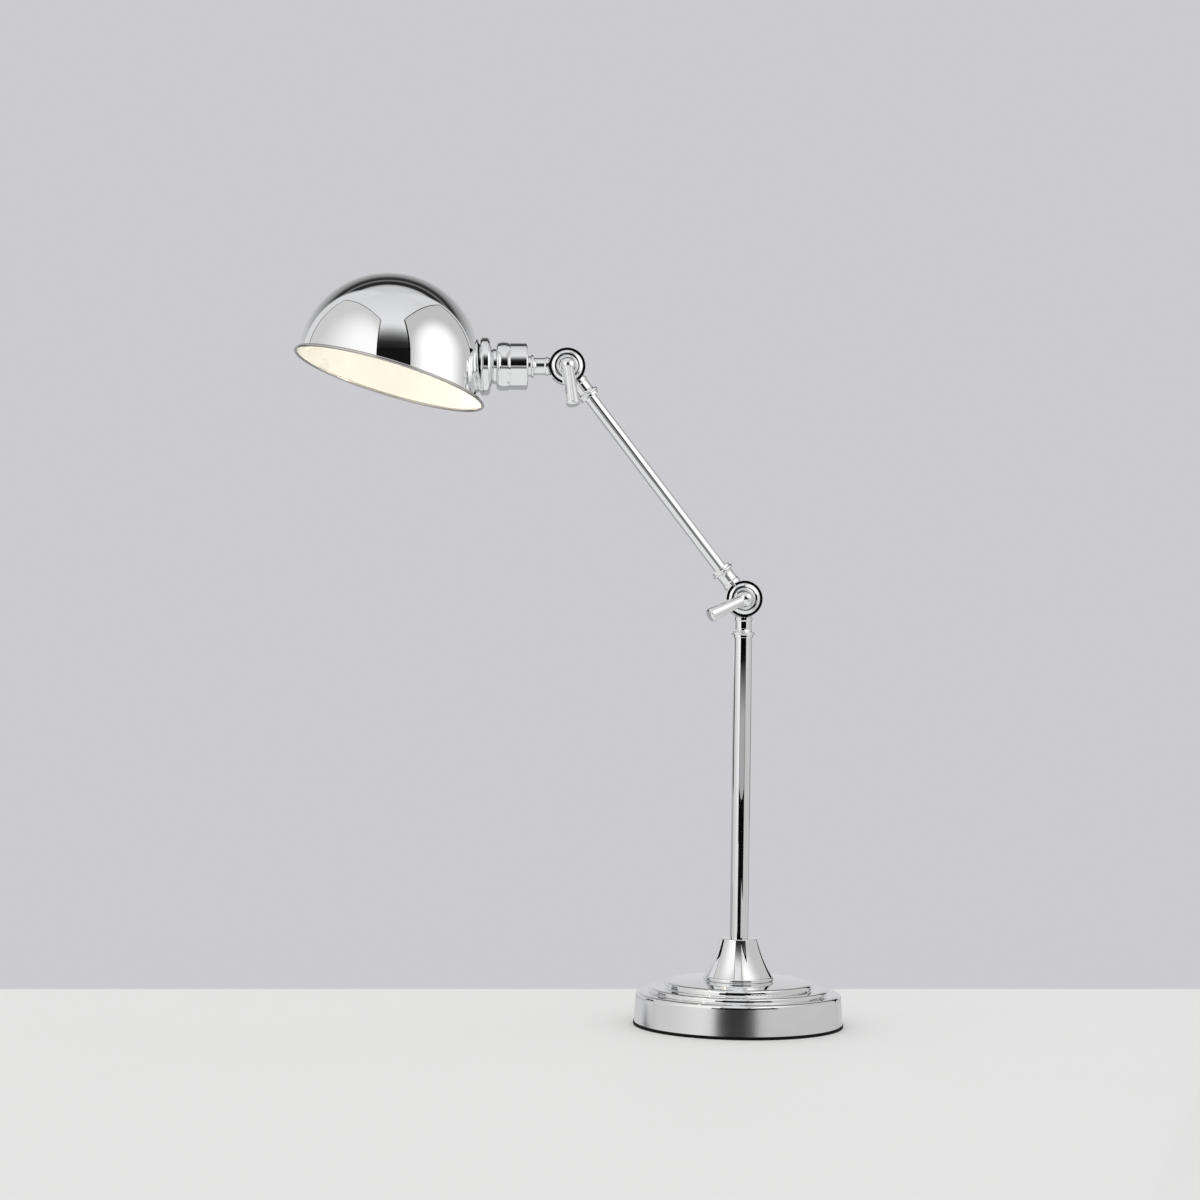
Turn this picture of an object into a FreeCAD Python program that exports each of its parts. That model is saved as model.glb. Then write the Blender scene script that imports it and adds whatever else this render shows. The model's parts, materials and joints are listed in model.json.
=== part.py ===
# Swing arm desk lamp: weighted round base, post, one jointed arm and a turning spun shade.
# Millimetres. The origin is the centre of the base's foot, +Z is up, the arm leans towards -X
# and both joint axes lie along Y. The clamp levers are on the -Y side.
import FreeCAD, Part
import math
import os
import Sketcher

V = FreeCAD.Vector

# ---------------------------------------------------------------- driving dimensions
DIMENSIONS = {
    # base, from the foot upwards
    "pad_radius": 90.8,
    "pad_top": 2.6,
    "base_radius": 90.3,
    "drum_top_radius": 88.8,
    "drum_top": 28.5,
    "drum_round": 3.5,
    "middle_radius": 77.8,
    "middle_top": 32.6,
    "middle_round": 2.6,
    "upper_radius": 64.6,
    "upper_top": 37.8,
    "upper_round": 3.2,
    "seat_radius": 32.0,
    "seat_top": 39.0,
    "shell_wall": 1.2,
    "plate_radius": 88.0,
    "plate_top": 4.1,
    "weight_radius": 84.0,
    "weight_top": 24.5,
    "weight_bore": 5.3,
    "weight_recess_radius": 13.0,
    "weight_recess_top": 13.0,
    "weight_hub_radius": 22.0,
    "channel_width": 16.0,
    "terminal_pocket_width": 26.0,
    "screw_circle": 60.0,
    "screw_radius": 1.85,
    "screw_top": 12.0,
    "inlet_height": 13.0,
    "inlet_bore": 3.6,
    "inlet_radius": 5.0,
    # trumpet boss round the foot of the post
    "boss_foot_radius": 31.2,
    "boss_top_radius": 16.0,
    "boss_top": 75.0,
    # tubes and threaded parts
    "post_radius": 8.0,
    "post_bore": 6.8,
    "rod_radius": 5.0,
    "rod_bore": 3.2,
    "arm_radius": 5.65,
    "arm_bore": 4.5,
    "lead_radius": 1.6,
    # the two clamped joints and the turned ends of the tubes
    "elbow_height": 369.0,
    "arm_length": 253.0,
    "arm_angle": 51.8,
    "head_drop": 1.1,
    "disc_radius": 16.0,
    "disc_gap": 0.5,
    "disc_face": 8.9,
    "bolt_radius": 3.0,
    "bolt_bore": 3.05,
    "neck_radius": 7.4,
    "flange_radius": 8.1,
    "shoulder": 30.0,
    "collar_start": 28.6,
    "collar_bead_end": 31.4,
    "collar_end": 33.8,
    "collar_radius": 9.1,
    "lever_offset": 16.2,
    "lever_length": 38.4,
    "lever_tilt": 22.0,
    "lever_neck_radius": 4.5,
    "lever_end_radius": 6.0,
    "lever_ball": 6.7,
    "elbow_lever_angle": 155.3,
    "head_lever_angle": 83.0,
    # lampholder and shade, measured along the neck from the head joint
    "cup_start": 34.1,
    "cup_end": 48.9,
    "cup_radius": 20.3,
    "ring_end": 61.2,
    "holder_radius": 12.6,
    "holder_end": 80.0,
    "throat_radius": 15.4,
    "gallery_start": 66.0,
    "gallery_end": 75.0,
    "gallery_radius": 25.2,
    "shade_centre": 153.3,
    "shade_radius": 80.4,
    "shade_wall": 0.9,
    "rim_drop": 10.5,
    "rim_tilt": 16.7,
    "rim_inset": 0.1,
    "rim_bead": 1.4,
    "shade_turn": 5.6,
}

doc = FreeCAD.newDocument("DeskLamp")
sheet = doc.addObject("Spreadsheet::Sheet", "sizes")
for row, (alias, number) in enumerate(DIMENSIONS.items(), start=1):
    sheet.set(f"A{row}", alias)
    sheet.set(f"B{row}", str(number))
    sheet.setAlias(f"B{row}", alias)
doc.recompute()


class Size:
    """A length that knows its value and the sheet expression that gives it."""

    def __init__(self, value, text):
        self.value = value
        self.text = text

    def __add__(self, other):
        other = as_size(other)
        return Size(self.value + other.value, f"({self.text} + {other.text})")

    def __sub__(self, other):
        other = as_size(other)
        return Size(self.value - other.value, f"({self.text} - {other.text})")

    def __mul__(self, factor):
        factor = as_size(factor)
        return Size(self.value * factor.value, f"({self.text} * {factor.text})")

    def __rsub__(self, other):
        return as_size(other) - self

    def __neg__(self):
        return Size(-self.value, f"(0 - {self.text})")


def as_size(number):
    return number if isinstance(number, Size) else Size(float(number), repr(float(number)))


def size(alias):
    return Size(DIMENSIONS[alias], f"sizes.{alias}")


def tangent(angle):
    """The tangent of an angle in degrees."""
    return Size(math.tan(math.radians(angle.value)), f"tan({angle.text})")


# ---------------------------------------------------------------- frames of the members
# Each member's own X axis runs along it, away from its joint, and its Y axis is the lamp's.
def frame(x, z, angle):
    return f"placement(vector({x}; 0; {z}); rotation(vector(0; 1; 0); {angle}))"


HEAD_X = "0 - sizes.arm_length * cos(sizes.arm_angle)"
HEAD_Z = "sizes.elbow_height + sizes.arm_length * sin(sizes.arm_angle)"
STANDING = "placement(vector(0; 0; 0); rotation(vector(0; 1; 0); 0))"
POST = frame("0", "sizes.elbow_height", "90")
ARM = frame("0", "sizes.elbow_height", "180 + sizes.arm_angle")
ARM_TOP = frame(HEAD_X, HEAD_Z, "sizes.arm_angle")
HEAD = frame(HEAD_X, HEAD_Z, "180 - sizes.head_drop")
TURNED = HEAD + " * placement(vector(0; 0; 0); rotation(vector(1; 0; 0); sizes.shade_turn))"
SHADE = TURNED + " * placement(vector(sizes.shade_centre; 0; 0); rotation(vector(0; 1; 0); 0))"


def lever_frame(x, z, angle):
    return f"placement(vector({x}; 0 - sizes.lever_offset; {z}); rotation(vector(0; 1; 0); {angle}))"


# ---------------------------------------------------------------- drawing helpers
parts = []


def place(item, where):
    """Put a finished sub-part where its frame says, and list it."""
    item.setExpression("Placement", where)
    parts.append(item)
    return item


def new_body(name):
    body = doc.addObject("PartDesign::Body", name)
    body.Label = name
    return body


def new_sketch(body, name, role, offset=None):
    """A sketch on one of its body's origin planes, moved on it by an offset expression if any."""
    sketch = body.newObject("Sketcher::SketchObject", name)
    plane = next(item for item in body.Origin.OriginFeatures if item.Role == role)
    sketch.AttachmentSupport = [(plane, "")]
    sketch.MapMode = "FlatFace"
    if offset:
        sketch.setExpression("AttachmentOffset", offset)
    return sketch


def pin_coordinate(sketch, kind, geometry, point, coordinate):
    """Hold one coordinate of a point to its sheet expression."""
    if coordinate.value == 0:
        sketch.addConstraint(Sketcher.Constraint("PointOnObject", geometry, point, -2 if kind == "DistanceX" else -1))
        return
    index = sketch.addConstraint(Sketcher.Constraint(kind, -1, 1, geometry, point, coordinate.value))
    sketch.setExpression(f"Constraints[{index}]", coordinate.text)


def arc_through(start, end, radius):
    """The shorter arc between two points; a positive radius runs anticlockwise."""
    chord = end - start
    reach = math.sqrt(max(radius * radius - chord.Length ** 2 / 4, 0))
    left = V(-chord.y, chord.x, 0).normalize()
    side = 1 if radius > 0 else -1
    centre = (start + end) * 0.5 + left * (reach * side)
    middle = centre - left * (abs(radius) * side)
    return Part.Arc(start, middle, end)


def draw(sketch, corners):
    """A closed outline. A corner is (x, y), or (x, y, radius) when an arc leads to it."""
    points = [(as_size(corner[0]), as_size(corner[1])) for corner in corners]
    ends = []
    for index, corner in enumerate(corners):
        start = V(points[index - 1][0].value, points[index - 1][1].value, 0)
        end = V(points[index][0].value, points[index][1].value, 0)
        if len(corner) == 2:
            geometry = sketch.addGeometry(Part.LineSegment(start, end), False)
            ends.append((geometry, 1, 2))
            continue
        radius = as_size(corner[2])
        geometry = sketch.addGeometry(arc_through(start, end, radius.value), False)
        bound = sketch.addConstraint(Sketcher.Constraint("Radius", geometry, abs(radius.value)))
        sketch.setExpression(f"Constraints[{bound}]", f"abs({radius.text})")
        ends.append((geometry, 1, 2) if radius.value > 0 else (geometry, 2, 1))
    for index, (geometry, first, last) in enumerate(ends):
        following = ends[(index + 1) % len(ends)]
        sketch.addConstraint(Sketcher.Constraint("Coincident", geometry, last, following[0], following[1]))
        pin_coordinate(sketch, "DistanceX", geometry, last, points[index][0])
        pin_coordinate(sketch, "DistanceY", geometry, last, points[index][1])


def draw_circle(sketch, x, y, radius):
    x, y, radius = as_size(x), as_size(y), as_size(radius)
    circle = sketch.addGeometry(Part.Circle(V(x.value, y.value, 0), V(0, 0, 1), radius.value), False)
    bound = sketch.addConstraint(Sketcher.Constraint("Radius", circle, radius.value))
    sketch.setExpression(f"Constraints[{bound}]", radius.text)
    pin_coordinate(sketch, "DistanceX", circle, 3, x)
    pin_coordinate(sketch, "DistanceY", circle, 3, y)


def turn(body, name, corners, role="XZ_Plane", axis="V_Axis", kind="Revolution", offset=None):
    """Revolve an outline about a sketch axis, to add it or, with kind Groove, to cut it."""
    sketch = new_sketch(body, f"{body.Name}_{name}", role, offset)
    draw(sketch, corners)
    feature = body.newObject(f"PartDesign::{kind}", f"{body.Name}_{name}_turned")
    feature.Profile = sketch
    feature.ReferenceAxis = (sketch, [axis])
    feature.Angle = 360
    sketch.Visibility = False
    return feature


def pocket(body, name, role, length, reversed_cut, outline=None, circle=None):
    """Cut an outline or a circle to one side of an origin plane."""
    sketch = new_sketch(body, f"{body.Name}_{name}", role)
    if circle:
        draw_circle(sketch, *circle)
    else:
        draw(sketch, outline)
    feature = body.newObject("PartDesign::Pocket", f"{body.Name}_{name}_cut")
    feature.Profile = sketch
    feature.setExpression("Length", as_size(length).text)
    feature.Reversed = reversed_cut
    return feature


def ring_of_three(body, feature, name):
    """Repeat a cut three times round the Z axis."""
    pattern = body.newObject("PartDesign::PolarPattern", f"{body.Name}_{name}_pattern")
    pattern.Originals = [feature]
    pattern.Axis = (next(item for item in body.Origin.OriginFeatures if item.Role == "Z_Axis"), [""])
    pattern.Angle = 360
    pattern.Occurrences = 3
    body.Tip = pattern


def turned_part(name, corners, where, role="XZ_Plane", axis="V_Axis"):
    """A sub-part that is one turned outline."""
    body = new_body(name)
    turn(body, "outline", corners, role, axis)
    return place(body, where)


def lathe(name, corners, where):
    """A part turned about its member's own X axis; a corner is (distance along, radius)."""
    return turned_part(name, corners, where, "XY_Plane", "H_Axis")


def spindle(name, corners, where):
    """A part turned about a joint's Y axis; a corner is (radius, distance along Y)."""
    return turned_part(name, corners, where, "XY_Plane", "V_Axis")


def sleeve(start, end, inner, outer):
    """The outline of a plain ring along a member."""
    return [(start, inner), (end, inner), (end, outer), (start, outer)]


def hex_nut(name, start, height, flats, bore, where):
    """A hexagonal nut whose axis is its member's X axis."""
    blank = doc.addObject("Part::Prism", f"{name}_blank")
    blank.Polygon = 6
    blank.setExpression("Circumradius", f"{flats} / 2 / cos(30)")
    blank.Height = height
    hole = doc.addObject("Part::Cylinder", f"{name}_hole")
    hole.setExpression("Radius", bore.text)
    hole.Height = height
    nut = doc.addObject("Part::Cut", name)
    nut.Label = name
    nut.Base = blank
    nut.Tool = hole
    lying = f" * placement(vector({start}; 0; 0); rotation(vector(0; 1; 0); 90))"
    return place(nut, where + lying)


# ---------------------------------------------------------------- base
def base_pad():
    body = new_body("base_pad")
    pad_top = size("pad_top")
    turn(body, "disc", [(0, 0), (size("pad_radius"), 0), (size("pad_radius"), pad_top), (0, pad_top)])
    hole = pocket(body, "screw_hole", "XY_Plane", pad_top + 1, True, circle=(0, -size("screw_circle"), 4.5))
    ring_of_three(body, hole, "screw_hole")
    place(body, STANDING)


def base_plate():
    body = new_body("base_plate")
    low, high, radius = size("pad_top"), size("plate_top"), size("plate_radius")
    turn(body, "disc", [(0, low), (radius, low), (radius, high), (0, high)])
    screw = size("screw_radius") + 0.2
    hole = pocket(body, "screw_hole", "XY_Plane", high + 1, True, circle=(0, -size("screw_circle"), screw))
    ring_of_three(body, hole, "screw_hole")
    place(body, STANDING)


def base_weight():
    """Cast iron disc with a hub under the boss, a nut recess and a channel for the cord."""
    body = new_body("base_weight")
    low, top = size("plate_top"), size("weight_top")
    bore, hub = size("weight_bore"), size("weight_hub_radius")
    recess, recess_top = size("weight_recess_radius"), size("weight_recess_top")
    hub_top = size("seat_top") - size("shell_wall")
    turn(body, "casting", [
        (recess, low), (size("weight_radius"), low), (size("weight_radius"), top - 3),
        (size("weight_radius") - 3, top), (hub, top), (hub, hub_top),
        (bore, hub_top), (bore, recess_top), (recess, recess_top)])
    half = size("channel_width") * 0.5
    rear = size("weight_radius") + 2
    pocket(body, "channel", "XY_Plane", top + 1, True,
           outline=[(-half, recess - 3), (half, recess - 3), (half, rear), (-half, rear)])
    half = size("terminal_pocket_width") * 0.5
    pocket(body, "terminal_pocket", "XY_Plane", top + 1, True,
           outline=[(-half, 25), (half, 25), (half, 45), (-half, 45)])
    hole = pocket(body, "screw_hole", "XY_Plane", size("screw_top") + 1, True,
                  circle=(0, -size("screw_circle"), size("screw_radius") + 0.05))
    ring_of_three(body, hole, "screw_hole")
    place(body, STANDING)


def base_shell():
    """Spun cover: a tall drum, two low steps and a flat seat, with the cord hole at the rear."""
    body = new_body("base_shell")
    wall, foot = size("shell_wall"), size("base_radius")
    drum, drum_top, drum_round = size("drum_top_radius"), size("drum_top"), size("drum_round")
    middle, middle_top, middle_round = size("middle_radius"), size("middle_top"), size("middle_round")
    upper, upper_top, upper_round = size("upper_radius"), size("upper_top"), size("upper_round")
    seat, seat_top, bore = size("seat_radius"), size("seat_top"), size("weight_bore")
    turn(body, "spinning", [
        (foot - wall, size("pad_top")), (foot, size("pad_top")),
        (drum, drum_top - drum_round), (drum - drum_round, drum_top, drum_round),
        (middle + 1.3, drum_top), (middle, drum_top + 1.3, -1.3),
        (middle, middle_top - middle_round), (middle - middle_round, middle_top, middle_round),
        (upper + 1.3, middle_top), (upper, middle_top + 1.3, -1.3),
        (upper, upper_top - upper_round), (upper - upper_round, upper_top, upper_round),
        (seat, seat_top), (bore, seat_top),
        (bore, seat_top - wall), (seat, seat_top - wall),
        (upper - upper_round, upper_top - wall), (upper - wall, upper_top - upper_round, -(upper_round - wall)),
        (upper - wall, middle_top - wall),
        (middle - middle_round, middle_top - wall), (middle - wall, middle_top - middle_round, -(middle_round - wall)),
        (middle - wall, drum_top - wall),
        (drum - drum_round, drum_top - wall), (drum - wall, drum_top - drum_round, -(drum_round - wall))])
    pocket(body, "cord_hole", "XZ_Plane", foot + 5, False,
           circle=(0, size("inlet_height"), size("inlet_radius") + 0.1))
    place(body, STANDING)


def boss_cone():
    """Trumpet-shaped boss with a rolled foot, spun hollow, round the foot of the post."""
    foot, top = size("boss_foot_radius"), size("boss_top_radius")
    low, high, bore = size("seat_top"), size("boss_top"), size("post_radius") + 0.1
    turned_part("boss_cone", [
        (foot - 3.6, low), (foot - 1.4, low), (foot - 1.2, low + 3.6, 2),
        (top, high - 0.8, -100), (top - 0.8, high, 0.8),
        (bore, high), (bore, high - 4), (top - 2.2, high - 4),
        (foot - 3.6, low + 3.2, 100)], STANDING)


def tie_rod_set():
    """Hollow threaded rod that pulls the post, boss and shell down onto the weight."""
    rod, bore = size("rod_radius"), size("rod_bore")
    recess_top = size("weight_recess_top")
    turned_part("tie_rod", [(bore, 4.5), (rod, 4.5), (rod, 60), (bore, 60)], STANDING)
    turned_part("tie_washer", [
        (rod + 0.1, recess_top - 1.5), (11, recess_top - 1.5), (11, recess_top), (rod + 0.1, recess_top)],
        STANDING)
    hex_nut("tie_nut", "5.5", 6, 17, rod + 0.02, STANDING + " * placement(vector(0; 0; 0); "
            "rotation(vector(0; 1; 0); 0 - 90))")


def plate_screws():
    """Three screws hold the plate to the weight; their heads sit in the pad's holes."""
    shank = size("screw_radius")
    for number, angle in enumerate((0, 120, 240), start=1):
        where = f"placement(vector(0; 0; 0); rotation(vector(0; 0; 1); {angle}))"
        where += " * placement(vector(0; 0 - sizes.screw_circle; 0); rotation(vector(0; 0; 1); 0))"
        turned_part(f"plate_screw_{number}", [
            (0, 0.6), (3.4, 0.6), (3.8, 1.0), (3.8, size("pad_top")),
            (shank, size("pad_top")), (shank, size("screw_top")), (0, size("screw_top"))], where)


def cord_inlet():
    """Bushing and nut in the rear of the drum, where the cord goes in."""
    bore, body_radius = size("inlet_bore"), size("inlet_radius")
    where = "placement(vector(0; 0; sizes.inlet_height); rotation(vector(0; 1; 0); 0))"
    spindle("cord_bushing", [
        (bore, 83), (body_radius, 83), (body_radius, 90.25), (7, 90.25), (7, 91.2), (6, 92.2), (bore, 92.2)], where)
    spindle("bushing_nut", [
        (body_radius + 0.02, 84), (8, 84), (8, 87.6), (body_radius + 0.02, 87.6)], where)


def terminal_set():
    """Terminal block on the base plate, with its two clamp screws."""
    block = doc.addObject("Part::Box", "terminal_block")
    block.Label = "terminal_block"
    block.Length = 20
    block.Width = 12
    block.Height = 10
    place(block, "placement(vector(-10; 29; sizes.plate_top); rotation(vector(0; 0; 1); 0))")
    for number, across in enumerate((-5, 5), start=1):
        top = size("plate_top") + 10
        turned_part(f"terminal_screw_{number}", [(0, top), (2, top), (2, top + 1.5), (0, top + 1.5)],
                    f"placement(vector({across}; 35; 0); rotation(vector(0; 0; 1); 0))")


# ---------------------------------------------------------------- tubes and joints
def post_tubes():
    low, radius, bore = size("seat_top"), size("post_radius"), size("post_bore")
    top = size("elbow_height") - size("shoulder")
    turned_part("post_tube", [(bore, low), (radius, low), (radius, top), (bore, top)], STANDING)
    rod = size("rod_radius") + 0.02
    turned_part("post_insert", [
        (rod, 46), (bore - 0.02, 46), (bore - 0.02, 62), (rod, 62)], STANDING)
    turned_part("post_lead", [
        (0, 8), (size("lead_radius"), 8), (size("lead_radius"), top + 11), (0, top + 11)], STANDING)


def arm_tubes():
    start, end = size("shoulder"), size("arm_length") - size("shoulder")
    lathe("arm_tube", sleeve(start, end, size("arm_bore"), size("arm_radius")), ARM)
    lead = size("lead_radius")
    lathe("arm_lead", [(19, 0), (size("arm_length") - 19, 0), (size("arm_length") - 19, lead), (19, lead)], ARM)


def knuckle(name, side, tail, where):
    """Half of a clamped joint: a dished disc on one side of the joint plane, and a waisted neck.

    side is -1 for a disc on the lever's side and 1 for one on the bolt head's side. tail is the
    radius of the spigot in the tube, or None where the neck is threaded for a nipple instead.
    """
    body = new_body(name)
    shoulder, start = size("shoulder"), size("collar_start")
    waist, flange = size("neck_radius"), size("flange_radius")
    neck = [(13, 0), (13, 7.2), (13.4, 7.6), (15.8, 7.6), (16.1, flange), (18.5, flange), (18.9, flange - 0.4),
            (19.7, waist), (25.6, waist), (start - 0.2, 8.0, 4.6), (shoulder, 8.0)]
    neck += [(shoulder, tail), (shoulder + 14, tail), (shoulder + 14, 0)] if tail else [(shoulder, 0)]
    turn(body, "neck", neck, "XY_Plane", "H_Axis")
    gap, room = size("disc_gap") * side, size("disc_radius") + 0.4
    turn(body, "other_disc_room", [(0, gap), (room, gap), (room, -14 * side), (0, -14 * side)],
         "XY_Plane", "V_Axis", "Groove")
    rim, face, bore = size("disc_radius"), size("disc_face") * side, size("bolt_bore")
    turn(body, "disc", [
        (bore, gap), (5.5, gap), (5.5, 5.2 * side), (12.5, 5.2 * side), (12.5, gap), (rim, gap),
        (rim, face - 1.7 * side), (rim - 0.3, face - 1.4 * side), (rim - 2.6, face - 1.4 * side),
        (rim - 5.7, face, 5 * side), (rim - 5.9, face - 1.7 * side), (rim - 6.4, face - 1.7 * side),
        (rim - 6.6, face - 0.5 * side), (rim - 8.6, face - 1.1 * side), (rim - 8.8, face - 1.7 * side),
        (rim - 9.1, face - 1.7 * side), (rim - 9.3, face), (bore, face)],
        "XY_Plane", "V_Axis")
    bore_end = shoulder + 15
    turn(body, "cable_bore", [(10.5, 0), (bore_end, 0), (bore_end, 2.6), (10.5, 2.6)],
         "XY_Plane", "H_Axis", "Groove")
    if not tail:
        thread = size("rod_radius") + 0.02
        turn(body, "nipple_bore", [(21, 0), (bore_end, 0), (bore_end, thread), (21, thread)],
             "XY_Plane", "H_Axis", "Groove")
    place(body, where)


def collar(name, tube, where):
    """Bead ring with a plain step, which covers the end of a tube and the shoulder of its knuckle."""
    start, bead_end, end = size("collar_start"), size("collar_bead_end"), size("collar_end")
    shoulder, outer, inner = size("shoulder"), size("collar_radius"), as_size(8.12)
    lathe(name, [
        (start, inner), (shoulder, inner), (shoulder, tube + 0.04), (end, tube + 0.04),
        (end, outer - 0.5), (end - 0.4, outer - 0.1), (bead_end + 0.2, outer - 0.1), (bead_end, outer),
        (start, outer, 1.41)], where)


def joint_set(prefix, where):
    """Bolt, washers and friction ring of one clamped joint."""
    gap, rim, face, shaft = size("disc_gap"), size("disc_radius"), size("disc_face"), size("bolt_radius")
    spindle(f"{prefix}_friction_ring", [
        (rim - 3.3, 0.05 - gap), (rim - 0.4, 0.05 - gap), (rim - 0.4, gap), (rim - 3.3, gap)], where)
    spindle(f"{prefix}_thrust_washer", [
        (shaft + 0.05, -face - 0.05), (shaft + 0.05, -face - 0.5), (6, -face - 0.5), (6, -face - 0.05)], where)
    spindle(f"{prefix}_spring_washer", [
        (shaft + 0.05, face), (6.2, face), (6.2, face + 1), (shaft + 0.05, face + 1)], where)
    spindle(f"{prefix}_bolt", [
        (0, -15.8), (shaft, -15.8), (shaft, face + 1), (6.6, face + 1), (6.6, face + 2.4),
        (1.2, face + 5.2, 8.2), (0, face + 5.2)], where)


def lever(name, x, z, angle):
    """Clamp lever: a ball hub threaded on the bolt, and a bar that widens and leans outwards."""
    body = new_body(name)
    ball, stem = size("lever_ball"), size("lever_offset") - size("disc_face") - 0.55
    thread = size("bolt_bore")
    turn(body, "hub", [
        (thread, stem), (thread, 0), (0, 0), (0, 0.8 - ball), (0.9, 0.8 - ball), (0.9, 0.06 - ball),
        (5.1, 4.345, ball), (5.1, stem)], "XY_Plane", "V_Axis")
    length, neck, end = size("lever_length"), size("lever_neck_radius"), size("lever_end_radius")
    turn(body, "bar", [
        (4.6, 0), (length + 0.9, 0), (length, end - 0.9, 16), (length - 0.9, end, 0.9), (length - 3, end - 0.1),
        (7, neck + 0.1), (4.6, neck)], "XY_Plane", "H_Axis",
        offset="placement(vector(0; 0; 0); rotation(vector(0; 0; 1); 0 - sizes.lever_tilt))")
    place(body, lever_frame(x, z, angle))


# ---------------------------------------------------------------- head
def swivel_set():
    """Hollow nipple on which the lampholder cup turns, and the nut that keeps it on."""
    rod, cup = size("rod_radius"), size("cup_start")
    lathe("swivel_nipple", sleeve(21, cup + 7.4, size("rod_bore"), rod), HEAD)
    lathe("swivel_washer", sleeve(cup + 1.7, cup + 2.5, rod + 0.02, 9), HEAD)
    hex_nut("swivel_nut", "sizes.cup_start + 2.5", 4, 14, rod + 0.02, HEAD)
    lathe("head_lead", [(19, 0), (cup + 6, 0), (cup + 6, size("lead_radius")), (19, size("lead_radius"))], HEAD)


def socket_cup():
    start, end, outer, wall = size("cup_start"), size("cup_end"), size("cup_radius"), 1.3
    bore = size("rod_radius") + 0.05
    lathe("socket_cup", [
        (start, bore), (start, outer - 1.6), (start + 1.6, outer, -1.6), (end, outer), (end, outer - wall),
        (start + wall + 0.1, outer - wall), (start + wall + 0.1, bore)], TURNED)


def holder_ring():
    """Rounded skirt that screws into the cup and grips the lampholder."""
    start, end, outer = size("cup_end"), size("ring_end"), size("cup_radius")
    holder = size("holder_radius") + 0.03
    lathe("holder_ring", [
        (start - 3, outer - 2.6), (start - 3, outer - 1.33), (start + 0.1, outer - 1.33), (start + 0.1, outer - 0.4),
        (start + 0.5, outer), (end - 2, outer + 0.2, -17), (end, outer - 2.1, -3), (end, holder),
        (end - 1.4, holder), (end - 1.4, outer - 2.6)], TURNED)


def lampholder_set():
    """Insulating lampholder body with its brass screw shell and centre contact."""
    start, end, radius = size("cup_start") + 8, size("holder_end"), size("holder_radius")
    lathe("lampholder", [
        (start, 2.5), (start, radius), (end, radius), (end, 7.5), (56, 7.5), (56, 2.5)], TURNED)
    lathe("screw_shell", sleeve(57, end - 1, 7.05, 7.45), TURNED)
    lathe("centre_contact", [(50, 0), (57.6, 0), (57.6, 2.45), (50, 2.45)], TURNED)


def bulb():
    """Small tubular bulb: a screw cap and a thin glass with a domed end."""
    lathe("bulb_cap", [
        (57.7, 0), (82, 0), (82, 6.6), (80.4, 6.9), (61, 6.95), (60, 6.4), (57.7, 3)], TURNED)
    lathe("bulb_glass", [
        (82.1, 6.3), (82.1, 7.2), (86, 10.2, -5), (97, 10.2), (106, 1.2, -10.4), (106, 0),
        (105.1, 0), (105.1, 1.1), (97, 9.4, 9.6), (86, 9.4), (82.9, 6.3, 4.2)], TURNED)


def dome_solid(name, less):
    """The dome and its straight skirt as one solid, drawn in by a given distance."""
    radius = size("shade_radius") - less
    body = new_body(name)
    turn(body, "outline", [(0, -radius), (radius, 0, radius), (radius, 45), (0, 45)])
    body.setExpression("Placement", "placement(vector(sizes.shade_centre; 0; 0); rotation(vector(0; 1; 0); 0))")
    return body


def shade_collar():
    """Gallery that carries the shade: a throat, a rounded bead and a seat cut to the dome."""
    start, throat, bead = size("ring_end") + 0.1, size("throat_radius"), size("gallery_radius")
    bead_start, bead_end = size("gallery_start"), size("gallery_end")
    bore = size("holder_radius") + 0.03
    blank = new_body("shade_collar_blank")
    turn(blank, "outline", [
        (start, bore), (start, throat), (start + 2.4, throat), (start + 3.2, throat + 1.2, 1.2),
        (bead_start, bead - 3.4, -40), (bead_start + 2.6, bead - 0.2, -4), (bead_end - 2.4, bead, -30),
        (bead_end, bead - 1.8, -2.6), (bead_end, throat + 4), (bead_end + 2, throat + 4),
        (bead_end + 2, throat + 0.6), (start + 7.2, throat + 0.6), (start + 7.2, bore)], "XY_Plane", "H_Axis")
    gallery = doc.addObject("Part::Cut", "shade_collar")
    gallery.Label = "shade_collar"
    gallery.Base = blank
    gallery.Tool = dome_solid("dome_outside", 0)
    place(gallery, TURNED)


def rim_bead():
    """The bead rolled round the slanted mouth: a circle swept along the ellipse of the cut."""
    radius, slope, drop = size("shade_radius"), tangent(size("rim_tilt")), size("rim_drop")
    middle = radius - size("rim_inset")
    across = middle * Size(1 / math.cos(math.radians(DIMENSIONS["rim_tilt"])), "(1 / cos(sizes.rim_tilt))")
    guide = new_body("rim_guide")
    path = new_sketch(guide, "rim_path", "XY_Plane",
                      "placement(vector(0; 0; sizes.rim_drop); rotation(vector(0; 1; 0); sizes.rim_tilt))")
    ellipse = path.addGeometry(Part.Ellipse(V(across.value, 0, 0), V(0, middle.value, 0), V(0, 0, 0)), False)
    path.exposeInternalGeometry(ellipse)
    pin_coordinate(path, "DistanceX", ellipse, 3, as_size(0))
    pin_coordinate(path, "DistanceY", ellipse, 3, as_size(0))
    pin_coordinate(path, "DistanceX", ellipse + 1, 1, across)
    pin_coordinate(path, "DistanceY", ellipse + 1, 1, as_size(0))
    pin_coordinate(path, "DistanceY", ellipse + 2, 1, middle)
    profile = new_sketch(guide, "rim_profile", "XZ_Plane")
    draw_circle(profile, middle, drop - middle * slope, size("rim_bead"))
    bead = doc.addObject("Part::Sweep", "rim_bead")
    bead.Sections = [profile]
    bead.Spine = (path, ["Edge1"])
    bead.Solid = True
    bead.Frenet = True
    return bead


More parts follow.
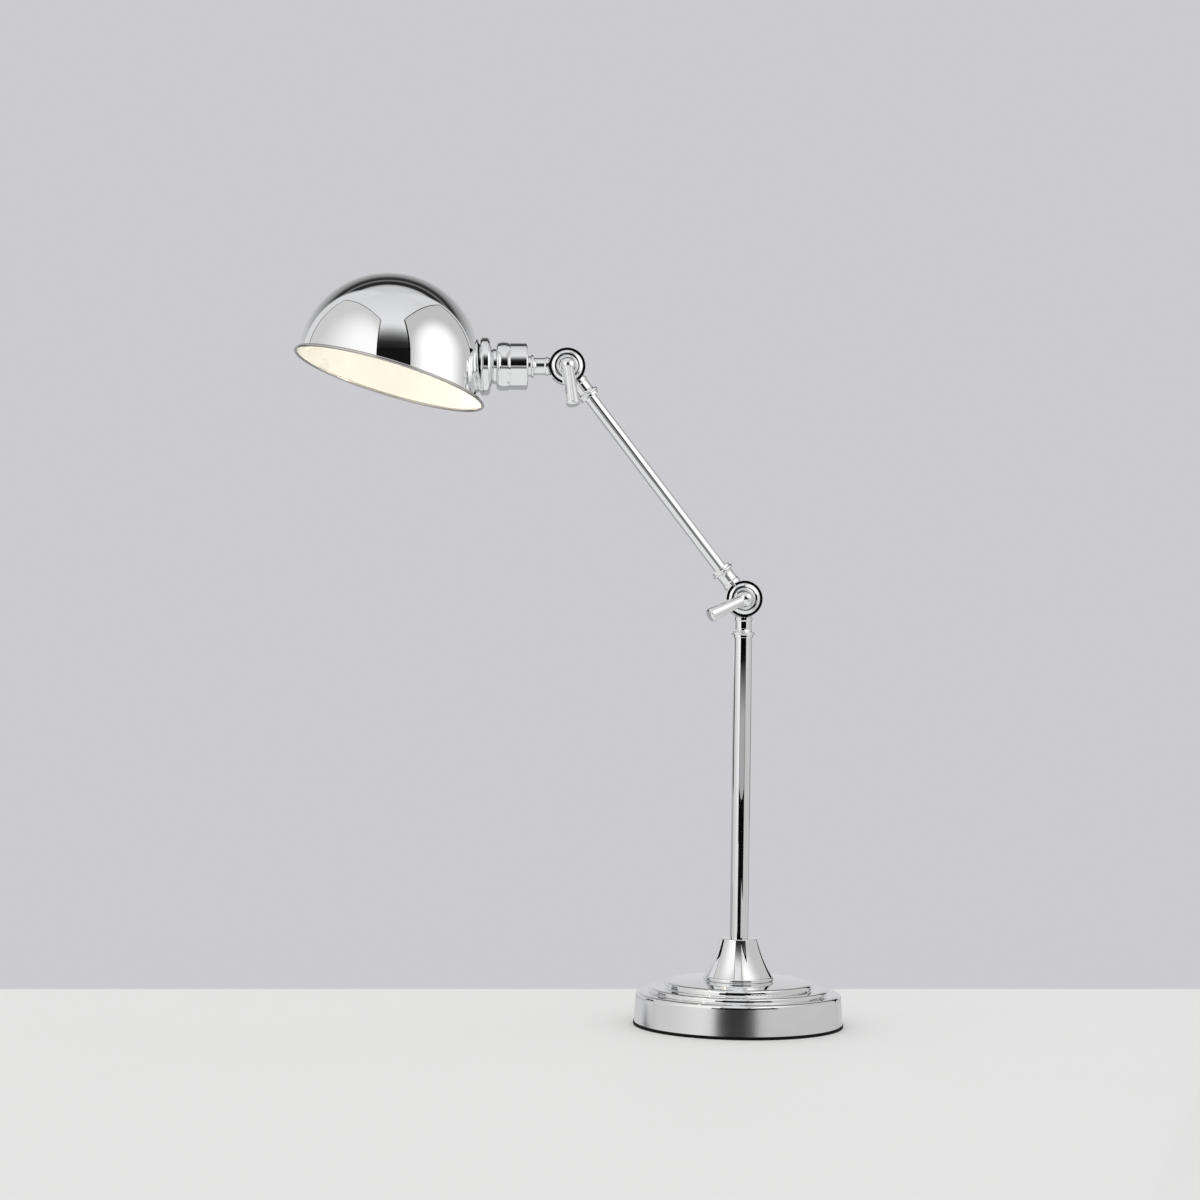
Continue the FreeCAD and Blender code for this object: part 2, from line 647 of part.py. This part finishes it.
def shade():
    """Spun dome with a straight skirt, cut off at a slant and finished with a rolled bead."""
    body = new_body("shade_shell")
    radius, wall = size("shade_radius"), size("shade_wall")
    inner = radius - wall
    turn(body, "spinning", [
        (0, -radius), (radius, 0, radius), (radius, 45), (inner, 45), (inner, 0), (0, -inner, -inner)])
    reach = radius + 6
    rise = reach * tangent(size("rim_tilt"))
    drop = size("rim_drop")
    slant = new_sketch(body, "shade_slant", "XZ_Plane")
    draw(slant, [(-reach, drop + rise), (reach, drop - rise), (reach, 50), (-reach, 50)])
    cut = body.newObject("PartDesign::Pocket", "shade_slant_cut")
    cut.Profile = slant
    cut.Midplane = True
    cut.setExpression("Length", (reach * 2).text)
    doc.recompute()
    pocket(body, "holder_hole", "YZ_Plane", radius + 5, False, circle=(0, 0, size("holder_radius") + 1))
    whole = doc.addObject("Part::Fuse", "shade")
    whole.Label = "shade"
    whole.Base = body
    whole.Tool = rim_bead()
    place(whole, SHADE)


def shade_nut():
    """Ring nut inside the dome, which clamps it against the gallery."""
    blank = new_body("shade_nut_blank")
    turn(blank, "outline", sleeve(70, 78.5, size("holder_radius") + 0.03, 19), "XY_Plane", "H_Axis")
    nut = doc.addObject("Part::Common", "shade_nut")
    nut.Label = "shade_nut"
    nut.Base = blank
    nut.Tool = dome_solid("dome_inside", size("shade_wall"))
    place(nut, TURNED)


# ---------------------------------------------------------------- the whole lamp
def build():
    base_pad()
    base_plate()
    base_weight()
    base_shell()
    boss_cone()
    tie_rod_set()
    plate_screws()
    cord_inlet()
    terminal_set()
    post_tubes()
    knuckle("post_knuckle", 1, size("post_bore") - 0.03, POST)
    collar("post_collar", size("post_radius"), POST)
    joint_set("elbow", POST)
    lever("elbow_lever", "0", "sizes.elbow_height", "sizes.elbow_lever_angle")
    arm_tubes()
    for end, where in (("lower", ARM), ("upper", ARM_TOP)):
        knuckle(f"arm_{end}_knuckle", -1, size("arm_bore") - 0.03, where)
        collar(f"arm_{end}_collar", size("arm_radius"), where)
    joint_set("head", HEAD)
    lever("head_lever", HEAD_X, HEAD_Z, "sizes.head_lever_angle")
    knuckle("head_knuckle", 1, None, HEAD)
    collar("head_collar", size("rod_radius"), HEAD)
    swivel_set()
    socket_cup()
    holder_ring()
    lampholder_set()
    bulb()
    shade_collar()
    shade()
    shade_nut()


def check():
    """Stop if any object failed or any sub-part has no sound solid."""
    for item in doc.Objects:
        if "Invalid" in item.State or "Error" in item.State:
            raise RuntimeError(f"{item.Name} failed: {item.State}")
    for item in parts:
        if item.Shape.isNull() or not item.Shape.isValid() or len(item.Shape.Solids) != 1:
            raise RuntimeError(f"{item.Label} has no sound single solid")


build()
doc.recompute()
check()
os.makedirs("parts", exist_ok=True)
for item in parts:
    item.Shape.exportStep(f"parts/{item.Label}.step")
    print(f"{item.Label:24s} {item.Shape.Volume / 1000:9.3f} cm3")
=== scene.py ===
"""Looks for the chrome swing arm desk lamp: its finishes, the camera and a soft studio."""
import json
import math

import bpy
from mathutils import Matrix, Vector

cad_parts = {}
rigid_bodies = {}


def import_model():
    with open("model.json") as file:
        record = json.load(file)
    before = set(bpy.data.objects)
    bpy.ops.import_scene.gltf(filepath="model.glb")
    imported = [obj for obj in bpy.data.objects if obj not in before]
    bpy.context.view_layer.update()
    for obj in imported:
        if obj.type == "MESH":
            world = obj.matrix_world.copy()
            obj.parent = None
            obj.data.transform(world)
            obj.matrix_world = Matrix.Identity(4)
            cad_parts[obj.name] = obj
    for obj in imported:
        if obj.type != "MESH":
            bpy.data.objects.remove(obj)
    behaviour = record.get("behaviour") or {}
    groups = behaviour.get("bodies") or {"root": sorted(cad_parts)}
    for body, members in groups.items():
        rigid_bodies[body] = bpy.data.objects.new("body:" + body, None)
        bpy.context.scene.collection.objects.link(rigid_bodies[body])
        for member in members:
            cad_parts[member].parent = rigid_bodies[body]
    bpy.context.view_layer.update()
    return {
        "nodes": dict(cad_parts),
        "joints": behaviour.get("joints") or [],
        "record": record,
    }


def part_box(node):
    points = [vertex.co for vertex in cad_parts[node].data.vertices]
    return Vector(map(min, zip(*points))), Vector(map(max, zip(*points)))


for leftover in list(bpy.data.objects):
    bpy.data.objects.remove(leftover)
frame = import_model()
nodes = frame["nodes"]

# ---------------------------------------------------------------- where things are
HEAD = Vector(frame["joints"][1]["pos_m"])
ALONG_NECK = Vector(frame["joints"][2]["axis"]).normalized()
SHADE_CENTRE = HEAD + ALONG_NECK * 0.1533
SHADE_UP = Matrix.Rotation(math.radians(5.6), 3, ALONG_NECK) @ Vector((0, 1, 0)).cross(ALONG_NECK)
RIM_TILT = math.radians(16.7)
RIM_DROP = 0.0105
RIM_RADIUS = 0.0803
BEAD_RADIUS = 0.00145
LINING_RADIUS = 0.0799
DRUM_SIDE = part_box("base_shell")[1][0] - 0.0015
PLATED = ((0.885, 0.89, 0.895), (0.905, 0.91, 0.915))
SATIN_PLATED = ((0.90, 0.905, 0.91), (0.925, 0.93, 0.935))
# Darker plate colour for the rim bead: painted shade that draws a dark line round the shade's mouth.
BEAD_SHADE_PLATED = ((0.50, 0.48, 0.455), (0.58, 0.565, 0.54))
SCREEN_EDGE = 0.05
NOTCH_FOOT = 0.06
NOTCH_TOP = 0.45
BOARD_FOOT = 0.11


# ---------------------------------------------------------------- material helpers
def new_material(name):
    """A material, its node tree and its shader."""
    material = bpy.data.materials.new(name)
    material.use_nodes = True
    return material, material.node_tree, material.node_tree.nodes["Principled BSDF"]


def add_node(tree, kind, values=None, **settings):
    """A node of a kind, with its settings and the values of its input sockets."""
    made = tree.nodes.new(kind)
    for name, value in settings.items():
        setattr(made, name, value)
    for socket, value in (values or {}).items():
        made.inputs[socket].default_value = value
    return made


def object_position(tree, stretch=(1, 1, 1)):
    """Positions on the object in metres, stretched per axis."""
    source = add_node(tree, "ShaderNodeTexCoord")
    mapping = add_node(tree, "ShaderNodeMapping", {"Scale": stretch})
    tree.links.new(source.outputs["Object"], mapping.inputs["Vector"])
    return mapping.outputs["Vector"]


def noise(tree, vector, scale, detail=4.0, roughness=0.5):
    """Cloudy noise over a vector."""
    made = add_node(tree, "ShaderNodeTexNoise", {"Scale": scale, "Detail": detail, "Roughness": roughness})
    tree.links.new(vector, made.inputs["Vector"])
    return made.outputs["Fac"]


def spread(tree, source, low, high, start=0.3, end=0.7):
    """Map a texture's middle range onto the span from low to high."""
    made = add_node(tree, "ShaderNodeMapRange",
                    {"From Min": start, "From Max": end, "To Min": low, "To Max": high})
    tree.links.new(source, made.inputs["Value"])
    return made.outputs["Result"]


def shades(tree, source, dark, light):
    """Blend two colours by a texture."""
    made = add_node(tree, "ShaderNodeValToRGB")
    made.color_ramp.elements[0].position = 0.3
    made.color_ramp.elements[0].color = (*dark, 1)
    made.color_ramp.elements[1].position = 0.7
    made.color_ramp.elements[1].color = (*light, 1)
    tree.links.new(source, made.inputs["Fac"])
    return made.outputs["Color"]


def bump(tree, shader, height, strength, distance=0.0002):
    """Tilt a shader's normals by a height texture."""
    made = add_node(tree, "ShaderNodeBump", {"Strength": strength, "Distance": distance})
    tree.links.new(height, made.inputs["Height"])
    tree.links.new(made.outputs["Normal"], shader.inputs["Normal"])


# ---------------------------------------------------------------- finishes
def chrome(name, low=0.008, high=0.03, waves=0.12, tones=PLATED):
    """Chrome plate: nearly a mirror, with faint wiping marks and the slow waves left by polishing."""
    material, tree, shader = new_material(name)
    shader.inputs["Metallic"].default_value = 1.0
    position = object_position(tree)
    wiped = noise(tree, position, 38, 5)
    tree.links.new(shades(tree, wiped, *tones), shader.inputs["Base Color"])
    tree.links.new(spread(tree, wiped, low, high), shader.inputs["Roughness"])
    bump(tree, shader, noise(tree, position, 60, 1), waves, 0.00002)
    return material


def drum_satin():
    """The plate on the drum's upright side, where polishing lines blur reflections sideways."""
    material, tree, shader = new_material("chrome_drum")
    shader.inputs["Metallic"].default_value = 1.0
    shader.inputs["Anisotropic"].default_value = 0.95
    wiped = noise(tree, object_position(tree), 38, 5)
    tree.links.new(shades(tree, wiped, *SATIN_PLATED), shader.inputs["Base Color"])
    tree.links.new(spread(tree, wiped, 0.145, 0.165), shader.inputs["Roughness"])
    around = add_node(tree, "ShaderNodeTangent", direction_type="RADIAL", axis="Z")
    tree.links.new(around.outputs["Tangent"], shader.inputs["Tangent"])
    return material


def enamel():
    """Cream stove enamel sprayed inside the shade, with the faint dimpling of thick paint."""
    material, tree, shader = new_material("cream_enamel")
    position = object_position(tree)
    tree.links.new(shades(tree, noise(tree, position, 22, 3), (0.94, 0.915, 0.85), (0.96, 0.935, 0.88)),
                   shader.inputs["Base Color"])
    shader.inputs["Roughness"].default_value = 0.42
    shader.inputs["Coat Weight"].default_value = 0.2
    shader.inputs["Coat Roughness"].default_value = 0.3
    bump(tree, shader, noise(tree, position, 500, 2), 0.1, 0.00002)
    return material


def plain_metal(name, dark, light, low, high, grain=260, strength=0.1):
    """An unplated or zinc metal with a dull, slightly uneven surface."""
    material, tree, shader = new_material(name)
    shader.inputs["Metallic"].default_value = 1.0
    texture = noise(tree, object_position(tree), grain, 6, 0.6)
    tree.links.new(shades(tree, texture, dark, light), shader.inputs["Base Color"])
    tree.links.new(spread(tree, texture, low, high), shader.inputs["Roughness"])
    bump(tree, shader, texture, strength, 0.0002)
    return material


def moulded(name, dark, light, low, high, grain=500, strength=0.1, gloss=0.5):
    """Rubber, fibre or moulded plastic."""
    material, tree, shader = new_material(name)
    shader.inputs["Specular IOR Level"].default_value = gloss
    texture = noise(tree, object_position(tree), grain, 4, 0.6)
    tree.links.new(shades(tree, texture, dark, light), shader.inputs["Base Color"])
    tree.links.new(spread(tree, texture, low, high), shader.inputs["Roughness"])
    bump(tree, shader, texture, strength, 0.0002)
    return material


def lit_glass():
    """Frosted bulb glass, glowing warm white."""
    material, tree, shader = new_material("frosted_bulb")
    texture = noise(tree, object_position(tree), 90, 3)
    tree.links.new(shades(tree, texture, (0.93, 0.91, 0.86), (0.98, 0.96, 0.91)), shader.inputs["Base Color"])
    shader.inputs["Roughness"].default_value = 0.5
    shader.inputs["Emission Color"].default_value = (1.0, 0.90, 0.76, 1)
    shader.inputs["Emission Strength"].default_value = 13.0
    return material


def finishes():
    """One material for each of the record's slots."""
    return {
        "chrome": chrome("chrome_plate"),
        "shade_metal": chrome("chrome_shade", 0.005, 0.015, 0.05),
        "steel": plain_metal("zinc_steel", (0.50, 0.51, 0.52), (0.66, 0.67, 0.68), 0.22, 0.4),
        "cast_iron": plain_metal("cast_iron", (0.07, 0.07, 0.07), (0.13, 0.125, 0.12), 0.6, 0.85, 180, 0.5),
        "rubber": moulded("pad_rubber", (0.003, 0.003, 0.003), (0.006, 0.006, 0.006), 0.6, 0.85, gloss=0.1),
        "black_plastic": moulded("black_plastic", (0.015, 0.015, 0.016), (0.03, 0.03, 0.032), 0.35, 0.5),
        "white_plastic": moulded("white_plastic", (0.75, 0.73, 0.68), (0.83, 0.81, 0.77), 0.35, 0.5),
        "lead_jacket": moulded("lead_jacket", (0.70, 0.69, 0.64), (0.78, 0.77, 0.73), 0.4, 0.55),
        "fibre": moulded("pressed_fibre", (0.10, 0.055, 0.03), (0.20, 0.12, 0.07), 0.7, 0.9),
        "brass": plain_metal("brass", (0.66, 0.50, 0.22), (0.80, 0.63, 0.32), 0.2, 0.35),
        "aluminium": plain_metal("rolled_aluminium", (0.68, 0.68, 0.69), (0.80, 0.80, 0.81), 0.2, 0.35),
        "glass": lit_glass(),
    }


def dress_nodes(materials):
    """Give every CAD node the finish of its slot, and the base plate that is satin on the drum's side."""
    for row in frame["record"]["subparts"]:
        nodes[row["node"]].material_slots[0].material = materials[row["material_slot"]]
    nodes["base_shell"].material_slots[0].material = chrome("chrome_base", waves=0.6)
    shell = nodes["base_shell"].data
    shell.materials.append(drum_satin())
    for face in shell.polygons:
        if face.center.xy.length > DRUM_SIDE and abs(face.normal.z) < 0.2:
            face.material_index = 1


def on_rim_bead(away):
    """Whether a place, measured from the middle of the dome, is on the bead round the mouth."""
    height = away.dot(SHADE_UP)
    outward = away.dot(ALONG_NECK)
    plan = (away - SHADE_UP * height).length
    from_mouth = height * math.cos(RIM_TILT) - outward * math.sin(RIM_TILT) + RIM_DROP * math.cos(RIM_TILT)
    return abs(from_mouth) < BEAD_RADIUS and abs(plan - RIM_RADIUS) < BEAD_RADIUS


def line_shade():
    """Enamel on the faces of the dome and skirt that look inwards, and a rougher plate on the bead whose
    darker colour is painted shade outlining the rim.
    """
    shade = nodes["shade"].data
    shade.materials.append(enamel())
    # The bead's plate is rougher, and its darker colour is painted shade outlining the rim.
    shade.materials.append(chrome("chrome_bead_painted_shade", 0.08, 0.16, 0.1, BEAD_SHADE_PLATED))
    for face in shade.polygons:
        away = face.center - SHADE_CENTRE
        height = away.dot(SHADE_UP)
        across = away if height > 0 else away - SHADE_UP * height
        if on_rim_bead(away):
            face.material_index = 2
        elif face.normal.dot(across) < 0 and across.length < LINING_RADIUS:
            face.material_index = 1


# ---------------------------------------------------------------- camera
def add_camera():
    """An 81 mm lens a little above the table, turned and rolled very slightly."""
    pitch, yaw, roll = math.radians(0.68), math.radians(3.59), math.radians(0.81)
    forward = Vector((math.sin(yaw) * math.cos(pitch), math.cos(yaw) * math.cos(pitch), math.sin(pitch)))
    level = Vector((math.cos(yaw), -math.sin(yaw), 0))
    upright = level.cross(forward)
    right = level * math.cos(roll) + upright * math.sin(roll)
    up = upright * math.cos(roll) - level * math.sin(roll)
    data = bpy.data.cameras.new("camera")
    data.lens = 81
    data.sensor_width = 36
    data.clip_start = 0.05
    data.clip_end = 50
    camera = bpy.data.objects.new("camera", data)
    turned = Matrix((right, up, -forward)).transposed().to_4x4()
    camera.matrix_world = Matrix.Translation((-0.27115, -2.33163, 0.33844)) @ turned
    bpy.context.scene.collection.objects.link(camera)
    bpy.context.scene.camera = camera
    return camera.matrix_world.translation.copy(), right, up, forward


# ---------------------------------------------------------------- studio
def stage_mesh(name, corners, material):
    """One flat face of the studio, which is not part of the lamp."""
    mesh = bpy.data.meshes.new(name)
    mesh.from_pydata([tuple(corner) for corner in corners], [], [tuple(range(len(corners)))])
    mesh.materials.append(material)
    piece = bpy.data.objects.new(name, mesh)
    bpy.context.scene.collection.objects.link(piece)
    return piece


def table_finish():
    """White lacquer; in mirrors it is white from above and a mirror itself at a glancing angle."""
    material, tree, shader = new_material("table_white")
    texture = noise(tree, object_position(tree), 3, 3)
    tree.links.new(shades(tree, texture, (0.815, 0.82, 0.805), (0.825, 0.83, 0.815)),
                   shader.inputs["Base Color"])
    shader.inputs["Roughness"].default_value = 0.5
    shader.inputs["Specular IOR Level"].default_value = 0.02
    white = add_node(tree, "ShaderNodeEmission", {"Color": (0.80, 0.81, 0.80, 1)})
    glassy = add_node(tree, "ShaderNodeBsdfGlossy", {"Color": (0.95, 0.95, 0.95, 1), "Roughness": 0.03})
    slant = add_node(tree, "ShaderNodeLayerWeight", {"Blend": 0.5})
    glancing = add_node(tree, "ShaderNodeMapRange", {"From Min": 0.68, "From Max": 0.80})
    tree.links.new(slant.outputs["Facing"], glancing.inputs["Value"])
    mirrored = add_node(tree, "ShaderNodeMixShader")
    tree.links.new(glancing.outputs["Result"], mirrored.inputs["Fac"])
    tree.links.new(white.outputs["Emission"], mirrored.inputs[1])
    tree.links.new(glassy.outputs["BSDF"], mirrored.inputs[2])
    paths = add_node(tree, "ShaderNodeLightPath")
    chosen = add_node(tree, "ShaderNodeMixShader")
    tree.links.new(paths.outputs["Is Glossy Ray"], chosen.inputs["Fac"])
    tree.links.new(shader.outputs["BSDF"], chosen.inputs[1])
    tree.links.new(mirrored.outputs["Shader"], chosen.inputs[2])
    tree.links.new(chosen.outputs["Shader"], tree.nodes["Material Output"].inputs["Surface"])
    return material


def add_table(eye, right, up, forward):
    """White glossy table whose far edge runs level across the picture, behind the lamp."""
    corners = []
    for across in (-1.6, 1.6):
        ray = forward + right * across - up * 0.1441
        corners.append(eye - ray * (eye.z / ray.z))
    near = [Vector((corner.x * 3, -3.2, 0)) for corner in reversed(corners)]
    stage_mesh("table", corners + near, table_finish())
    beyond = [corner + Vector((0, 0.02, 0)) for corner in reversed(corners)]
    shadow = glowing("table_shadow", (0, 0, 0), 1, 0.02, 0.02)
    only_in_mirrors(stage_mesh("table_shadow", corners + beyond, shadow))


def glowing(name, middle, reach, bright, dim):
    """Emission that falls off smoothly round the lamp that lights a screen from behind."""
    material = bpy.data.materials.new(name)
    material.use_nodes = True
    tree = material.node_tree
    tree.nodes.clear()
    away = add_node(tree, "ShaderNodeVectorMath", {1: middle}, operation="DISTANCE")
    tree.links.new(object_position(tree), away.inputs[0])
    fall = add_node(tree, "ShaderNodeMapRange", {"From Min": reach * 0.2, "From Max": reach, "To Min": bright,
                                                 "To Max": dim}, interpolation_type="SMOOTHSTEP")
    tree.links.new(away.outputs["Value"], fall.inputs["Value"])
    glow = add_node(tree, "ShaderNodeEmission", {"Color": (1.0, 0.995, 0.985, 1)})
    tree.links.new(fall.outputs["Result"], glow.inputs["Strength"])
    output = add_node(tree, "ShaderNodeOutputMaterial")
    tree.links.new(glow.outputs["Emission"], output.inputs["Surface"])
    return material


def only_in_mirrors(piece):
    """Keep a piece of the studio out of sight, but for its reflections."""
    piece.visible_camera = False
    piece.visible_diffuse = False
    piece.visible_shadow = False


def screen_corners(front, rear, notch, foot, top, margin):
    """Corners of a screen with a notch low in its front edge, grown all round by a margin."""
    along = (rear - front).normalized() * margin

    def corner(place, height):
        return place + Vector((0, 0, height))

    return [foot - along, rear + along,
            corner(rear + along, top + margin), corner(front - along, top + margin),
            corner(front - along, NOTCH_TOP - margin), corner(notch - along, NOTCH_TOP - margin),
            corner(notch - along, NOTCH_FOOT), corner(foot - along, NOTCH_FOOT)]


def add_screen(name, places, heights, glow):
    """A tall diffusing screen beside the lamp, lit from behind, with a dark edge all round.

    The plan places are its front and rear edges, the depth of its notch, the front of its foot
    and the far end of the low black board behind it. The heights are the screen's and the board's.
    """
    front, rear, notch, foot, beyond = (Vector((*place, 0)) for place in places)
    top, board_top = heights
    only_in_mirrors(stage_mesh(name, screen_corners(front, rear, notch, foot, top, 0), glow))
    behind = (rear - front).normalized().cross(Vector((0, 0, 1))) * (0.005 if front.x > 0 else -0.005)
    border = [place + behind for place in screen_corners(front, rear, notch, foot, top, SCREEN_EDGE)]
    edge = glowing(f"{name}_edge", (0, 0, 0), 1, 0.003, 0.003)
    only_in_mirrors(stage_mesh(f"{name}_edge", border, edge))
    low, high = Vector((0, 0, BOARD_FOOT)), Vector((0, 0, board_top))
    only_in_mirrors(stage_mesh(f"{name}_board", [rear + low, beyond + low, beyond + high, rear + high], edge))


def sky_ramp(tree):
    """The room's brightness from the back wall's foot (0) overhead (0.5) to the front (1)."""
    stops = [
        (0.0, 0.72), (0.11, 0.56), (0.18, 0.37), (0.231, 0.21), (0.256, 0.04), (0.292, 0.025),
        (0.302, 0.17), (0.316, 0.15), (0.326, 0.022), (0.366, 0.022), (0.376, 0.42), (0.40, 0.62),
        (0.50, 0.72), (0.728, 0.84), (0.761, 0.68), (0.794, 0.37), (0.828, 0.13), (0.861, 0.033),
        (0.90, 0.008), (1.0, 0.002)]
    made = add_node(tree, "ShaderNodeValToRGB")
    ramp = made.color_ramp
    ramp.elements.remove(ramp.elements[1])
    ramp.elements[0].position = stops[0][0]
    ramp.elements[0].color = (stops[0][1], stops[0][1], stops[0][1] * 1.02, 1)
    for position, bright in stops[1:]:
        ramp.elements.new(position).color = (bright, bright, bright * 1.01, 1)
    return made


def math_node(tree, operation, first, second=None):
    """A sum or function of sockets or plain numbers."""
    made = add_node(tree, "ShaderNodeMath", operation=operation)
    for slot, source in enumerate((first, second)):
        if isinstance(source, (int, float)):
            made.inputs[slot].default_value = source
        elif source is not None:
            tree.links.new(source, made.inputs[slot])
    return made.outputs["Value"]


def add_world():
    """A pale room; in mirrors it is dark in front, has two dark strips high behind and is grey below."""
    world = bpy.data.worlds.new("studio")
    world.use_nodes = True
    bpy.context.scene.world = world
    tree = world.node_tree
    tree.nodes.clear()
    source = add_node(tree, "ShaderNodeTexCoord")
    axes = add_node(tree, "ShaderNodeSeparateXYZ")
    tree.links.new(source.outputs["Generated"], axes.inputs["Vector"])
    x, y, z = axes.outputs["X"], axes.outputs["Y"], axes.outputs["Z"]
    above = math_node(tree, "MAXIMUM", z, 0.0)
    turn = math_node(tree, "DIVIDE", math_node(tree, "ARCTAN2", above, y), math.pi)
    room = sky_ramp(tree)
    tree.links.new(turn, room.inputs["Fac"])
    middle = math_node(tree, "MULTIPLY", y, 0.2)
    off_centre = math_node(tree, "ABSOLUTE", math_node(tree, "SUBTRACT", x, middle))
    beyond = math_node(tree, "SUBTRACT", off_centre, math_node(tree, "MULTIPLY", y, 1.13))
    beside = spread(tree, beyond, 0, 1, -0.04, 0.04)
    behind = spread(tree, y, 0, 1, 0.0, 0.08)
    mixed = add_node(tree, "ShaderNodeMix", {"B": (0.74, 0.74, 0.75, 1)}, data_type="RGBA")
    tree.links.new(math_node(tree, "MULTIPLY", beside, behind), mixed.inputs["Factor"])
    tree.links.new(room.outputs["Color"], mixed.inputs["A"])
    foot = add_node(tree, "ShaderNodeMix", {"B": (0.40, 0.40, 0.41, 1)}, data_type="RGBA")
    tree.links.new(spread(tree, z, 1, 0, -0.03, -0.01), foot.inputs["Factor"])
    tree.links.new(mixed.outputs["Result"], foot.inputs["A"])
    reflected = add_node(tree, "ShaderNodeBackground")
    tree.links.new(foot.outputs["Result"], reflected.inputs["Color"])
    seen = add_node(tree, "ShaderNodeBackground", {"Color": (0.60, 0.60, 0.625, 1)})
    soft = add_node(tree, "ShaderNodeBackground", {"Color": (0.97, 0.975, 0.98, 1)})
    paths = add_node(tree, "ShaderNodeLightPath")
    lighting = add_node(tree, "ShaderNodeMixShader")
    tree.links.new(paths.outputs["Is Glossy Ray"], lighting.inputs["Fac"])
    tree.links.new(soft.outputs["Background"], lighting.inputs[1])
    tree.links.new(reflected.outputs["Background"], lighting.inputs[2])
    chosen = add_node(tree, "ShaderNodeMixShader")
    tree.links.new(paths.outputs["Is Camera Ray"], chosen.inputs["Fac"])
    tree.links.new(lighting.outputs["Shader"], chosen.inputs[1])
    tree.links.new(seen.outputs["Background"], chosen.inputs[2])
    output = add_node(tree, "ShaderNodeOutputWorld")
    tree.links.new(chosen.outputs["Shader"], output.inputs["Surface"])


def add_studio(view):
    add_table(*view)
    left_glow = glowing("screen_left_glow", (-0.75, -0.95, 0.85), 1.25, 1.08, 0.66)
    right_glow = glowing("screen_right_glow", (0.297, -0.351, 0.80), 0.60, 1.25, 0.58)
    add_screen("screen_left", ((-0.629, -1.233), (-1.383, 0.548), (-0.717, -1.025), (-0.670, -1.136),
                               (-1.36, 1.20)), (2.15, 0.62), left_glow)
    add_screen("screen_right", ((0.112, -0.861), (0.600, 0.485), (0.280, -0.399), (0.158, -0.735),
                                (0.64, 0.84)), (1.76, 0.85), right_glow)
    add_world()
    bpy.context.scene.view_settings.view_transform = "Standard"


add_studio(add_camera())
dress_nodes(finishes())
line_shade()
